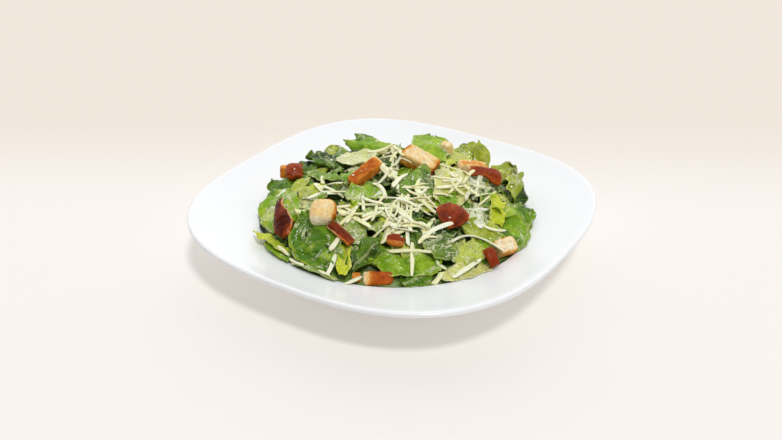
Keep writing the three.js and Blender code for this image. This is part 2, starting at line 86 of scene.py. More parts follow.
def make_piece(name, points, faces, finish, marks=None, sharp=50):
    """One mesh of points in millimetres, with its finish and its numbers per point."""
    mesh = bpy.data.meshes.new(name)
    mesh.from_pydata((np.asarray(points) / 1000).tolist(), [], [list(face) for face in faces])
    for key, values in (marks or {}).items():
        mark = mesh.attributes.new(key, "FLOAT", "POINT")
        mark.data.foreach_set("value", np.ascontiguousarray(values, np.float32))
    # where a ring of points closes up in one place, its points become one
    shape = bmesh.new()
    shape.from_mesh(mesh)
    bmesh.ops.remove_doubles(shape, verts=shape.verts, dist=1e-7)
    shape.to_mesh(mesh)
    shape.free()
    mesh.shade_smooth()
    mesh.set_sharp_from_angle(angle=math.radians(sharp))
    mesh.materials.append(finish)
    piece = bpy.data.objects.new(name, mesh)
    bpy.context.collection.objects.link(piece)
    return piece


class Shade:
    """A value in a finish's nodes. Sums and products of values add Math nodes."""

    def __init__(self, tree, socket=None):
        self.tree, self.socket = tree, socket

    def node(self, kind, settings=None, sockets=None, output=0):
        """A new node: its settings come first, then the values or links of its sockets."""
        made = self.tree.nodes.new(kind)
        for key, value in (settings or {}).items():
            setattr(made, key, value)
        for key, value in (sockets or {}).items():
            self.feed(made.inputs[key], value)
        return Shade(self.tree, made.outputs[output])

    def feed(self, socket, value):
        if isinstance(value, Shade):
            self.tree.links.new(value.socket, socket)
        else:
            socket.default_value = (*value, 1.0) if socket.type == "RGBA" else value

    def maths(self, operation, *values):
        return self.node("ShaderNodeMath", {"operation": operation}, dict(enumerate(values)))

    def __add__(self, other):
        return self.maths("ADD", self, other)

    def __sub__(self, other):
        return self.maths("SUBTRACT", self, other)

    def __rsub__(self, other):
        return self.maths("SUBTRACT", other, self)

    def __mul__(self, other):
        return self.maths("MULTIPLY", self, other)

    __radd__, __rmul__ = __add__, __mul__

    def size(self):
        """The value without its sign."""
        return self.maths("ABSOLUTE", self)

    def between(self, low, high):
        """0 below low, 1 above high, and smooth between them."""
        limits = {"Value": self, "From Min": low, "From Max": high}
        return self.node("ShaderNodeMapRange", {"interpolation_type": "SMOOTHSTEP"}, limits)

    def blend(self, first, second):
        """The first colour where this value is 0, the second where it is 1."""
        colours = {0: self, 6: first, 7: second}
        return self.node("ShaderNodeMix", {"data_type": "RGBA"}, colours, 2)

    def place(self):
        return self.node("ShaderNodeTexCoord", output="Object")

    def mark(self, name):
        return self.node("ShaderNodeAttribute", {"attribute_name": name}, output="Fac")

    def marks(self, names):
        return [self.mark(name) for name in names.split()]

    def noise(self, size, detail=3.0, place=None, **more):
        """Cloudy noise from 0 to 1, with patches of about that size in millimetres."""
        sockets = {"Vector": place or self.place(), "Scale": 500.0 / size, "Detail": detail}
        return self.node("ShaderNodeTexNoise", {}, {**sockets, **more})

    def streaks(self, along, across, apart, detail, size=500, **more):
        """Noise that is drawn out along a piece, and differs from piece to piece."""
        place = self.node("ShaderNodeCombineXYZ", {}, {0: along, 1: across, 2: apart})
        return self.noise(size, detail, place, **more)

    def bump(self, height, depth):
        """Relief of that depth in millimetres, where the height goes from 0 to 1."""
        return self.node("ShaderNodeBump", {}, {"Distance": depth / 1000, "Height": height})


def colour(code):
    """The linear colour for a six-digit colour code."""
    parts = [int(code[i : i + 2], 16) / 255 for i in (0, 2, 4)]
    return tuple(p / 12.92 if p < 0.04045 else ((p + 0.055) / 1.055) ** 2.4 for p in parts)


def new_finish(name):
    """A finish with one shader, and the start of its nodes."""
    finish = bpy.data.materials.new(name)
    finish.use_nodes = True
    return finish, Shade(finish.node_tree)


def set_finish(finish, **sockets):
    """Feeds values or links to the sockets of the finish's shader."""
    shader = finish.node_tree.nodes["Principled BSDF"]
    for key, value in sockets.items():
        Shade(finish.node_tree).feed(shader.inputs[key.replace("_", " ")], value)


def plate_points():
    profile = curve_through(PLATE_PROFILE, np.linspace(0, 1, PLATE_RINGS))
    angle = np.linspace(0, 2 * math.pi, PLATE_ROUND, endpoint=False)
    power = PLATE_SQUARENESS
    bulge = np.abs(np.cos(angle)) ** power + np.abs(np.sin(angle)) ** power
    rim_width = PLATE_HALF * bulge ** (-1 / power) - WELL_RADIUS
    share_out = np.clip(profile[:, 1:2], 0, 1)
    radius = np.maximum(profile[:, :1], 0) + share_out * rim_width
    lift = -CORNER_LIFT * np.cos(4 * angle) * share_out
    height = np.maximum(profile[:, 2:3], 0) + lift
    points = np.stack([radius * np.cos(angle), radius * np.sin(angle), height], -1)
    return points.reshape(-1, 3), len(profile)


porcelain, shade = new_finish("glazed_porcelain")
height_up = shade.node("ShaderNodeSeparateXYZ", {}, {0: shade.place()}, "Z")
bare_foot = 1 - height_up.between(0.0002, 0.0006)
cloud = shade.noise(60, 2.0)
set_finish(
    porcelain,
    Base_Color=bare_foot.blend(cloud.blend(colour("f5f6f8"), colour("f7f8fa")), colour("d9d4cb")),
    Roughness=bare_foot * 0.5 + shade.noise(18) * 0.06 + 0.2,
    Normal=shade.bump(shade.noise(9, 1.0), 0.02),
    Coat_Weight=0.12,
    Coat_Roughness=0.1,
)
points, rows = plate_points()
faces_of_plate = grid_faces(rows, PLATE_ROUND, closed=True)[:, ::-1]
plate = make_piece("plate_porcelain", points, faces_of_plate, porcelain)
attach(plate, "root")
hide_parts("plate")

# ------------------------------------------------------------------ packed leaves
# The leaves that lie packed in the well under the loose ones. They are wilted by the
# dressing, dark and wet, and show only in the gaps of the heap.

SERVING_TURN = math.radians(32.43)
SPIRAL_STEP = 2.4
HEAP_EDGE, HEAP_RISE, HEAP_REACH, HEAP_BLUNTNESS = 37.0, 27.0, 100.0, 3.0
CORE_DEPTH = 8.0
CORE_TOP_REACH, CORE_TOP_RINGS = 90, 60
CORE_ROUND = 160
# radius and height, down along the wall of the well and in to the middle underneath
CORE_EDGE = [(95, 34), (99, 31), (99, 28), (97, 24), (92, 19), (86, 16), (0, 16)]


def on_plate(points):
    """The food is laid out for the diner, and that layout is turned on the plate."""
    turn = np.array(Matrix.Rotation(SERVING_TURN, 3, "Z"))
    return np.asarray(points) @ turn.T


def share(index):
    """A repeatable number from 0 to 1 for each whole number."""
    wave = math.sin(index * 127.1 + 11.7) * 43758.5453
    return wave - math.floor(wave)


def outward(way, out):
    """The x and y of a place that lies so far out in that direction."""
    return out * math.cos(way), out * math.sin(way)


def strewn_place(k, count, number, reach, power=0.5):
    """The place of the k-th of so many things that lie spread over a round."""
    return outward(SPIRAL_STEP * k + share(k + number), reach * ((k + 0.5) / count) ** power)


def heap_top(x, y):
    out = np.minimum(np.hypot(x, y) / HEAP_REACH, 1)
    return HEAP_EDGE + HEAP_RISE * (1 - out**HEAP_BLUNTNESS)


def swell(points, size, number):
    """Smooth unevenness from -1 to 1 over points, with waves of about that size."""
    total = 0.0
    for k in range(5):
        way = np.array([share(number * 31 + k * 3 + i) - 0.5 for i in range(3)])
        way *= 2 * math.pi / size / np.linalg.norm(way) * (0.7 + 0.6 * share(number + k * 7))
        total = total + np.sin(points @ way + 6.3 * share(number * 17 + k))
    return total / 3


core_top = np.linspace(0, CORE_TOP_REACH, CORE_TOP_RINGS)
edge_reach, edge_heights = zip(*CORE_EDGE)
reach = np.concatenate([core_top, edge_reach])
down = np.concatenate([heap_top(core_top, 0) - CORE_DEPTH, edge_heights])
angle = np.linspace(0, 2 * math.pi, CORE_ROUND, endpoint=False)
heights = np.broadcast_to(down[:, None], (len(reach), CORE_ROUND))
points = np.stack([reach[:, None] * np.cos(angle), reach[:, None] * np.sin(angle), heights], -1)
lumps = 3.2 * swell(points, 22, 3) + 1.6 * swell(points, 9, 4)
points[..., 2] += lumps * (1 - np.clip((reach[:, None] - 80) / 12, 0, 1))
core_points = points.reshape(-1, 3)
core_faces = grid_faces(len(reach), CORE_ROUND, closed=True)[:, ::-1]

wilted, shade = new_finish("wilted_lettuce")
fold = shade.noise(14, 5.0, Distortion=1.5)
dark_green = fold.between(0.35, 0.7).blend(colour("3a5412"), colour("70902e"))
film = shade.noise(7, 6.0).between(0.56, 0.75)
set_finish(
    wilted,
    Base_Color=(film * 0.7).blend(dark_green, colour("b9c190")),
    Roughness=0.45 - film * 0.15,
    Normal=shade.bump(fold, 3.0),
)
core = make_piece("packed_leaves", on_plate(core_points), core_faces, wilted)
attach(core, "root")
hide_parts("salad")

# ------------------------------------------------------------------ romaine
# Torn romaine, from dark outer leaves to the pale yellow heart. The darkest kind also stands
# for leaves that lie in shade, so there its colour is partly painted shade. Each piece is a thin
# blade, quilted between the side veins that leave its midrib, with a wavy edge. It is
# tossed in dressing, which stays on it as a thin milky film.

LEAF_ARCH = 0.05
CREASE_ROUND = 0.2
LEAF_STEP = 1.15
BLADE = 0.7
VEIN_STEP = 6.5
CRUMPLE = 3.0

# half-widths from base to tip, waves along the edge, height of the quilting, small frills
LEAF_KINDS = {
    "dark": ([0.55, 0.92, 1.0, 0.86, 0.12], 2, 0.9, 0.5),
    "green": ([0.6, 0.95, 1.0, 0.82, 0.15], 2.5, 0.9, 0.8),
    "bright": ([0.7, 0.98, 1.0, 0.86, 0.15], 1.5, 0.6, 0.4),
    "light": ([0.5, 0.9, 1.0, 0.7, 0.08], 3, 0.7, 0.8),
    "coated": ([0.6, 0.95, 1.0, 0.85, 0.3], 2.5, 0.8, 0.8),
    "dressed": ([0.6, 0.95, 1.0, 0.85, 0.3], 2.5, 0.8, 0.8),
    "yellow": ([0.6, 1.0, 0.8, 0.95, 0.3], 3.5, 0.6, 1.2),
    "frill": ([0.55, 0.9, 1.0, 1.0, 0.45], 4.5, 0.6, 1.8),
    "pale": ([0.9, 1.0, 0.96, 0.9, 0.55], 2, 0.4, 0.5),
    "rib": ([0.8, 1.0, 0.95, 0.8, 0.5], 1, 0.2, 0.2),
}

# base, tip, width, roll, lean, fold, ruffle, kind
LEAVES = [
    ((-43, -86, 40), (-66, -38, 55), 38, -8, 0, -0.2, 0.05, "green"),
    ((-76, -44, 47), (-96, 13, 45), 33, 0, 0, -0.25, 0.1, "green"),
    ((-75, -67, 39), (-102, -40, 41), 10, 10, 0, -0.3, 0.1, "yellow"),
    ((-74, -72, 36), (-94, -50, 37), 9, 0, 0, -0.3, 0.1, "green"),
    ((-76, 2, 50), (-95, 22, 50), 24, 0, 0.3, -0.3, 0.15, "dark"),
    ((-76, -8, 52), (-64, 12, 58), 10, 15, 0, 0.5, 0.05, "light"),
    ((-66, 26, 56), (-38, -4, 64), 14, -20, 0, -0.5, 0.1, "bright"),
    ((-46, 26, 60), (-66, 70, 50), 26, 0, 0.5, -0.35, 0.12, "dark"),
    ((-60, 34, 55), (-78, 64, 44), 22, 0, 0.5, -0.35, 0.15, "dark"),
    ((-56, 74, 43), (-46, 88, 49), 14, 0, 1, -0.2, 0.3, "light"),
    ((-1, 50, 60), (-41, 73, 60), 18, -12, 0.6, -0.4, 0.08, "bright"),
    ((-10, 62, 57), (-33, 77, 65), 12, 0, 1, -0.2, 0.15, "green"),
    ((6, 46, 60), (-18, 73, 60), 9, 0, 0.6, -0.2, 0.25, "dressed"),
    ((-15, 29, 63), (-46, 37, 60), 20, -20, 0, 0.3, 0.05, "rib"),
    ((-33, -34, 62), (-10, -12, 65), 26, 0, 0, -0.2, 0.1, "green"),
    ((-24, -54, 59), (-6, -42, 62), 12, 0, 0, -0.3, 0.1, "green"),
    ((-24, -74, 51), (-40, -50, 58), 20, 0, 0, -0.15, 0.15, "coated"),
    ((-35, -94, 37), (-34, -70, 50), 11, 0, 0, 0.4, 0.1, "yellow"),
    ((-30, -90, 42), (-10, -70, 54), 18, 0, 0, -0.3, 0.08, "dark"),
    ((32, -85, 43), (-18, -86, 44), 24, 0, 0, -0.45, 0.03, "bright"),
    ((28, -94, 31), (-4, -96, 31), 12, 0, 0, -0.3, 0.05, "dark"),
    ((28, 36, 62), (31, 94, 55), 32, 0, 0, -0.3, 0.15, "bright"),
    ((60, 70, 42), (52, 86, 49), 28, 0, 1, -0.1, 0.35, "frill"),
    ((73, 62, 42), (68, 73, 61), 12, 0, 1, -0.3, 0.05, "light"),
    ((76, 26, 47), (91, 46, 54.5), 30, 0, 0.6, -0.15, 0.2, "light"),
    ((91, 0, 45), (98, 34, 52), 22, 20, 0, -0.4, 0.1, "light"),
    ((91, 0, 42), (98, 14, 49), 14, 0, 0, -0.3, 0.15, "dark"),
    ((82, -55, 39), (98, -5, 43), 27, 0, 0, -0.35, 0.08, "bright"),
    ((96, -16, 40), (103, -6, 42), 12, 0, 0, -0.3, 0.2, "bright"),
    ((72.5, -44, 49), (73.5, -10, 56), 13, 0, 0, 0.1, 0.35, "yellow"),
    ((50, -52, 54), (67, -26, 54), 20, 0, 0, -0.2, 0.15, "dressed"),
    ((80, -53, 41), (43, -53, 56.5), 21, -14, 0, -0.3, 0.08, "light"),
    ((40, -34, 60), (42, 18, 62), 26, 0, 0, 0.15, 0.15, "pale"),
    ((54, -4, 59), (74, 18, 53), 22, 0, 0, -0.2, 0.2, "dressed"),
    ((1, -24, 65), (28, 18, 68), 15, 0, 0, -0.6, 0.03, "bright"),
    ((26, -24, 63), (16, 8, 65), 20, 0, 0, -0.2, 0.08, "coated"),
    ((38, -68, 52), (4, -64, 56), 24, 0, 0, -0.25, 0.06, "dark"),
    ((40, -82, 45), (18, -66, 55), 22, 0, 0, -0.25, 0.08, "coated"),
    ((62, -70, 44), (38, -82, 44), 18, 0, 0, -0.1, 0.35, "frill"),
    ((66, -76, 34), (32, -94, 36), 14, 0, 0, -0.2, 0.3, "pale"),
    ((-40, -97, 35), (-72, -77, 36), 4.5, 0, 0, -0.2, 0.15, "coated"),
    ((-10, 26, 64), (12, 54, 61), 28, 0, 0, -0.25, 0.12, "dark"),
    ((38, 38, 60), (62, 54, 54), 26, 0, 0, -0.2, 0.2, "light"),
    ((-44, 36, 55), (-20, 62, 54), 26, 0, 0, -0.25, 0.12, "coated"),
    ((-70, -16, 55), (-50, -5, 61), 15, 10, 0, 0.1, 0.1, "light"),
    ((-62, -42, 55), (-52, -18, 61), 20, -15, 0, -0.2, 0.15, "coated"),
    ((-40, -4, 61), (-26, 14, 62), 15, 12, 0, -0.25, 0.1, "green"),
    ((16, -52, 58), (0, -36, 61), 22, -10, 0, -0.2, 0.12, "coated"),
]

# The far side: a ring of leaves whose tips hang towards the well's edge.
FAR_LEAVES, FAR_START, FAR_SPAN, FAR_WIDTH = 9, -14, 204, 30
FAR_BASE, FAR_TIP = 56, 96
FAR_KINDS = ["green", "coated", "dark", "light"]
for k in range(FAR_LEAVES):
    way = math.radians(FAR_START + FAR_SPAN * (k + 0.3 * share(k)) / FAR_LEAVES)
    tip_way = way + 0.3 * (share(k + 20) - 0.5)
    base, tip = FAR_BASE + 8 * share(k + 40), FAR_TIP + 5 * share(k + 60)
    start = (*outward(way, base), float(heap_top(base, 0)))
    end = (*outward(tip_way, tip), HEAP_EDGE + 6 * share(k + 80))
    roll = 30 * (share(k + 100) - 0.5)
    LEAVES.append((start, end, FAR_WIDTH, roll, 0, -0.3, 0.2, FAR_KINDS[k % 4]))

# Small torn bits that fill in between the large ones, a little lower.
SMALL_BITS, SMALL_REACH, SMALL_LIMIT, SMALL_DOWN = 130, 97, 99, 3
SMALL_KINDS = ["green", "coated", "dark", "light", "coated", "pale", "green", "yellow"]
for k in range(SMALL_BITS):
    x, y = strewn_place(k, SMALL_BITS, 200, SMALL_REACH)
    turn, size = 6.3 * share(k + 300), 13 + 13 * share(k + 400)
    dx, dy = outward(turn, size / 2)
    ends = []
    for side in (-1, 1):
        px, py = x + side * dx, y + side * dy
        pull = min(1, SMALL_LIMIT / math.hypot(px, py))
        px, py = px * pull, py * pull
        height = float(heap_top(px, py)) - SMALL_DOWN + 3 * (share(k * 2 + side + 500) - 0.5)
        ends.append((px, py, height))
    roll = 50 * (share(k + 600) - 0.5)
    kind = SMALL_KINDS[int(8 * share(k + 700))]
    LEAVES.append((*ends, size * (0.55 + 0.3 * share(k + 800)), roll, 0, -0.3, 0.25, kind))

# Bits that slid down between the far leaves and the wall of the well.
WALL_BITS, WALL_START, WALL_SPAN = 28, -8, 196
# radius and height
WALL_BASE, WALL_TIP = (84, 40), (95.5, 31.5)
for k in range(WALL_BITS):
    way = math.radians(WALL_START + WALL_SPAN * (k + 0.5 * share(k + 900)) / WALL_BITS)
    tip_way = way + 0.14 * (share(k + 930) - 0.5)
    base, tip = WALL_BASE[0] + 4 * share(k + 940), WALL_TIP[0] + 2.5 * share(k + 960)
    high, low = WALL_BASE[1] + 2 * share(k + 970), WALL_TIP[1] + 3 * share(k + 980)
    start, end = (*outward(way, base), high), (*outward(tip_way, tip), low)
    width, roll = 11 + 9 * share(k + 995), 30 * (share(k + 925) - 0.5)
    kind = SMALL_KINDS[int(8 * share(k + 990))]
    LEAVES.append((start, end, width, roll, 0, -0.3, 0.25, kind))


def heap_normal(x, y):
    step = 0.5
    slope_x = (heap_top(x + step, y) - heap_top(x - step, y)) / (2 * step)
    slope_y = (heap_top(x, y + step) - heap_top(x, y - step)) / (2 * step)
    return Vector((-slope_x, -slope_y, 1)).normalized()


def piece_frame(start, end, roll, lean):
    """Start, along, across, facing and length of a piece that lies on the heap. Lean 0 lays
    its face on the slope, and lean 1 stands it up at the far edge with its face inward."""
    start, end = Vector(start), Vector(end)
    along = (end - start).normalized()
    x, y = (start.x + end.x) / 2, (start.y + end.y) / 2
    out = math.hypot(x, y) + 0.001
    inward = Vector((-0.8 * x / out, -0.8 * y / out, 0.6))
    facing = heap_normal(x, y) * (1 - lean) + inward * lean
    facing = (facing - along * facing.dot(along)).normalized()
    across = along.cross(facing)
    turn = Matrix.Rotation(math.radians(roll), 3, along)
    vectors = [start, along, turn @ across, turn @ facing]
    return [np.array(v) for v in vectors] + [(end - start).length]


def sheet_places(rows, columns):
    """For each point of a sheet, its share of the length, and its place from -1 to 1 across."""
    u, v = np.linspace(0, 1, rows), np.linspace(-1, 1, columns)
    return np.meshgrid(u, v, indexing="ij")


def crease(v):
    return np.hypot(v, CREASE_ROUND) - CREASE_ROUND


def slab(middle, normal, thickness):
    """A closed sheet about a grid of middle points, and its points' row and column."""
    rows, columns = middle.shape[:2]
    half = normal * thickness[..., None] / 2
    points = np.concatenate([(middle + half).reshape(-1, 3), (middle - half).reshape(-1, 3)])
    upper = grid_faces(rows, columns)
    lower = grid_faces(rows, columns, start=rows * columns)[:, ::-1]
    index = np.arange(rows * columns).reshape(rows, columns)
    border = np.concatenate([index[:-1, 0], index[-1, :-1], index[:0:-1, -1], index[0, :0:-1]])
    following = np.roll(border, -1)
    under = rows * columns
    rim = np.stack([border, following, following + under, border + under], -1)
    return points, np.concatenate([upper, lower, rim])


def grid_normals(middle, facing):
    """The way each point of a grid faces, on the side of the given direction."""
    normal = np.cross(np.gradient(middle, axis=0), np.gradient(middle, axis=1))
    normal /= np.linalg.norm(normal, axis=-1, keepdims=True) + 1e-9
    return normal * np.where(normal @ facing < 0, -1, 1)[..., None]


# The plate's upper face by its radius. The middle of a leaf's blade stays this far above it.
LEAF_CLEAR = 0.8
UPPER_FACE = np.array(PLATE_PROFILE[:10])
CHINA_REACH = UPPER_FACE[:, 0] + UPPER_FACE[:, 1] * (PLATE_HALF - WELL_RADIUS)


def on_china(x, y):
    return np.interp(np.hypot(x, y), CHINA_REACH, UPPER_FACE[:, 2])


def leaf(base, tip, width, roll, lean, fold, ruffle, kind, number):
    outline, waves, quilt, frill = LEAF_KINDS[kind]
    start, along, across, facing, length = piece_frame(base, tip, roll, lean)
    rows = max(10, int(length / LEAF_STEP))
    columns = max(8, int(width / LEAF_STEP))
    u, v = sheet_places(rows, columns)
    edge = np.abs(v)
    size = min(1.0, width / 24)
    number = number * 5
    # torn ends and nicked sides
    flat = np.stack([u * length, v * width / 2, 0 * u], -1)
    across_only = flat * (0, 1, 0)
    tear = 0.05 * swell(across_only, 11, number) + 0.02 * swell(across_only, 4, number + 8)
    run = u * length + length * tear * ((1 - u) ** 4 + 0.5 * u**4)
    run = run - 0.1 * width * edge**3 * (u**6 - 0.5 * (1 - u) ** 6)
    sides = flat * (1, 0, 0) + np.sign(v)[..., None] * (0, 50, 0)
    nick = 1 + 0.07 * swell(sides, 13, number + 1) + 0.03 * swell(sides, 4.5, number + 11)
    half = width / 2 * curve_through(outline, u[:, 0])[:, None] * nick
    side = half * v
    # the midrib seldom runs through the middle of a torn piece, and often misses it
    from_rib = side - width / 2 * (3.2 * share(number + 7) - 1.6)
    # quilting between the side veins, creases, crumples and blisters
    vein = (run - 0.85 * np.abs(from_rib)) / VEIN_STEP + 0.3 * swell(flat, 17, number + 2)
    blade_share = np.clip(np.abs(from_rib) / 3, 0, 1) * (1 - edge**6)
    relief = quilt * (np.abs(np.sin(math.pi * vein)) ** 0.8 - 0.6) * blade_share
    relief = relief + CRUMPLE * (0.35 - np.abs(swell(flat, 24, number + 6)))
    relief = relief + 1.5 * swell(flat, 15, number + 5) + 0.5 * swell(flat, 5.5, number + 3)
    # the large form: arch, fold, waves, frills and curl of the edge
    wave = np.sin(2 * math.pi * waves * u + np.where(v > 0, 0, 1.7))
    small_wave = np.sin(2 * math.pi * run / 8.5 + 3 * swell(flat, 25, number + 4)) * edge**5
    rise = length * LEAF_ARCH * 4 * u * (1 - u)
    rise = rise + half * (fold * crease(v) + ruffle * edge**1.5 * wave)
    curl = np.where(v > 0, share(number + 13), share(number + 14)) - 0.35
    rise = rise + 0.22 * width * curl * np.clip((edge - 0.55) / 0.45, 0, 1) ** 2
    rise = rise + size * (frill * small_wave + relief)
    middle = start + along * run[..., None] + across * side[..., None] + facing * rise[..., None]
    rib = 1.3 * size * np.exp(-((from_rib / 1.4) ** 2)) * (1 - u) ** 0.8
    thickness = BLADE * (1 - 0.55 * edge**4) + rib
    lowest = on_china(middle[..., 0], middle[..., 1]) + LEAF_CLEAR
    middle[..., 2] = np.maximum(middle[..., 2], lowest)
    points, faces = slab(middle, grid_normals(middle, facing), thickness)
    tint = 0 * u + share(number + 9)
    marks = {"side": from_rib, "edge": edge, "vein": vein, "reach": u, "tint": tint}
    marks = {key: np.tile(values.ravel(), 2) for key, values in marks.items()}
    marks["under"] = np.repeat([0.0, 1.0], rows * columns)
    return points, faces, marks


def join(parts):
    """Many small meshes as one."""
    points, faces, marks, count = [], [], {}, 0
    for part_points, part_faces, part_marks in parts:
        points.append(part_points)
        faces.append(part_faces + count)
        count += len(part_points)
        for key, values in part_marks.items():
            marks.setdefault(key, []).append(values)
    marks = {key: np.concatenate(values) for key, values in marks.items()}
    return np.concatenate(points), np.concatenate(faces), marks


# colours: in the folds, blade, light patches, veins, and edge (partly painted light glowing through
# the thin blade); then the share of dressing
LEAF_COLOURS = {
    # the dark kind: dark outer leaves, and also painted shade where it is laid on leaves that lie
    # in shadow
    "dark": ("203f04", "447206", "78a020", "aebf5c", "98b838", 0.12),
    "green": ("4a8006", "8abc12", "bcd434", "c8d068", "b8cc48", 0.4),
    "bright": ("467204", "84b412", "b4d434", "c4d468", "dce484", 0.2),
    "light": ("94a810", "c8d434", "e8ee74", "ecec98", "eef084", 0.4),
    "coated": ("3e660c", "789c1e", "b8cc54", "d8de9c", "c0ce74", 0.6),
    "dressed": ("6c8c30", "acbe64", "d4dca0", "e4e8bc", "dae0a8", 1.5),
    "yellow": ("98b004", "d0dc14", "eef04c", "f0f28c", "f0ee54", 0.08),
    "frill": ("94b010", "c8d848", "eaee8c", "eef0b8", "ecf090", 0.4),
    "pale": ("e4e27c", "f8f6a8", "fefbd0", "fdfbde", "f8f6b4", 0.5),
    "rib": ("d4dc80", "f2f4ac", "fefcd4", "fefbe0", "f8f4c0", 0.2),
}


def lettuce_finish(kind):
    fold, blade, patch, veins, rim, dressed = LEAF_COLOURS[kind]
    finish, shade = new_finish(f"romaine_{kind}")
    tint, side, edge, under, vein = shade.marks("tint side edge under vein")
    # veins: the fine ones branch off in valleys, and the midrib narrows towards the tip
    to_vein = 0.5 - (vein.maths("FRACT", vein) - 0.5).size()
    fine = (1 - to_vein.between(0.0, 0.08)) * (1 - edge.between(0.6, 1.0))
    midrib = 1 - (side.size() - (1 - shade.mark("reach")) * 0.8).between(0.0, 0.8)
    net = shade.node(
        "ShaderNodeTexVoronoi", {"feature": "DISTANCE_TO_EDGE"},
        {"Vector": shade.place(), "Scale": 480.0}, "Distance",
    )
    web = 1 - net.between(0.0, 0.12)
    patchy = shade.noise(22, 5.0, Distortion=0.6) + (tint - 0.5) * 0.2
    blotch = shade.noise(7, 6.0, Distortion=1.2)
    grain = shade.noise(2.4, 5.0)
    face = patchy.between(0.38, 0.58).blend(colour(fold), colour(blade))
    face = (patchy * 0.4 + blotch * 0.6).between(0.47, 0.66).blend(face, colour(patch))
    face = (grain.between(0.4, 0.8) * 0.3).blend(face, colour(fold))
    face = (web * 0.15).blend(face, colour(veins))
    face = (fine * 0.35).blend(face, colour(veins))
    # The edge colour: partly the paler torn edge, partly painted light glowing through the thin
    # blade
    face = (edge.between(0.86, 1.0) * 0.75).blend(face, colour(rim))
    face = (under * 0.35).blend(face, colour(patch))
    face = (midrib * 0.35).blend(face, colour("d8dc94"))
    # the milky film of dressing is drawn out in curved streaks, and beads up beside them
    streaks = shade.streaks(vein * 2.2, side * 0.12, tint * 30, 6.0, Distortion=0.9)
    whorls = shade.noise(11, 3.0, Distortion=2.5)
    thin = (whorls - 0.5).size().between(0.01, 0.05)
    wet = shade.noise(16, 3.0) * 0.6 + streaks * 0.4
    low = 0.64 - 0.18 * dressed
    film = wet.between(low + 0.01, low + 0.09)
    threads = (1 - thin) * wet.between(low - 0.12, low - 0.02) * 0.8
    drops = shade.noise(2.4, 2.0).between(0.64, 0.7) * wet.between(low - 0.08, low + 0.06)
    streaky = film * (0.35 + 0.3 * dressed) * streaks.between(0.32, 0.58)
    cover = film.maths("MAXIMUM", streaky, threads)
    cover = cover.maths("MAXIMUM", cover, drops * 0.6)
    relief = web * -0.4 + grain * 0.5 + blotch * 1.8 + cover * 0.7
    set_finish(
        finish,
        Base_Color=cover.between(0.0, 1.0).blend(face, colour("eef0c4")),
        Roughness=0.32 - film * 0.1 + grain * 0.12,
        Normal=shade.bump(relief, 0.9),
        Specular_IOR_Level=0.12,
        Coat_Weight=0.3,
        Coat_Roughness=0.14,
    )
    return finish


food = [(core_points, core_faces)]
for kind in LEAF_KINDS:
    rows = [(n, row) for n, row in enumerate(LEAVES) if row[-1] == kind]
    points, faces, marks = join([leaf(*row, n) for n, row in rows])
    food.append((points, faces))
    leaves = make_piece(f"romaine_{kind}", on_plate(points), faces, lettuce_finish(kind), marks, 80)
    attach(leaves, "root")
    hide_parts("salad")

# ------------------------------------------------------------------ croutons
# White bread cut in chunks and fried in butter: the cut faces are pale and porous, and
# the edges and the faces that lay in the pan are golden to brown.

# from end to end, width, thickness, roll, lean, power of the rounded box, and how brown
# its faces are: end, far end, left, right, top, bottom
CROUTONS = [
    ((-33, -12, 64), (-11, 4, 76), 11, 8, 10, 0, 6, (0.8, 0.1, 0.3, 0.8, 0.85, 0.8)),
    ((6, 27, 72.5), (31, 17, 62), 15, 13, 20, 0, 6, (1.0, 0.95, 0.5, 0.62, 0.3, 0.85)),
    ((42, 62, 44), (40.5, 60, 65), 8.5, 9, 0, 1, 5, (0.5, 0.3, 0.3, 0.4, 0.15, 0.5)),
    ((48, 27, 59), (71, 29, 56), 14, 12, 0, 0, 5, (0.2, 0.7, 0.65, 0.4, 0.55, 0.6)),
    ((-60, -52, 63), (-41, -52, 62), 18, 18, 20, 0, 3, (0.3, 0.85, 0.6, 0.1, 0.3, 0.8)),
    ((-90, 37, 50), (-81, 37, 50), 11, 10, 0, 0, 5, (0.7, 0.6, 0.7, 0.7, 0.6, 0.6)),
    ((-22, -93, 34), (-1, -93, 34), 10, 7.5, 20, 0, 5, (0.05, 1.0, 0.95, 0.95, 0.92, 0.9)),
    ((-29.5, -92.5, 34.5), (-23, -93, 34.5), 7, 6.5, 0, 0, 5, (0.6, 0.8, 0.7, 0.7, 0.7, 0.7)),
    ((70.5, -61, 37.9), (85, -54, 38.9), 12, 11, 0, 0, 5, (0.5, 0.6, 0.4, 0.6, 0.12, 0.6)),
]
CROUTON_UNEVEN = 0.3
CROUTON_MESH = 26


def cube_net(steps):
    """The points and quads of a cube's six faces."""
    points, faces = [], []
    line = np.linspace(-1, 1, steps)
    first, second = np.meshgrid(line, line, indexing="ij")
    for axis in range(3):
        for side in (-1, 1):
            grid = np.zeros((steps, steps, 3))
            grid[..., axis] = side
            grid[..., (axis + 1) % 3], grid[..., (axis + 2) % 3] = first, second
            quads = grid_faces(steps, steps, start=len(points) * steps * steps)
            faces.append(quads if side < 0 else quads[:, ::-1])
            points.append(grid.reshape(-1, 3))
    points, faces = np.concatenate(points), np.concatenate(faces)
    same, index = np.unique(np.round(points, 6), axis=0, return_inverse=True)
    return same, index.ravel()[faces]


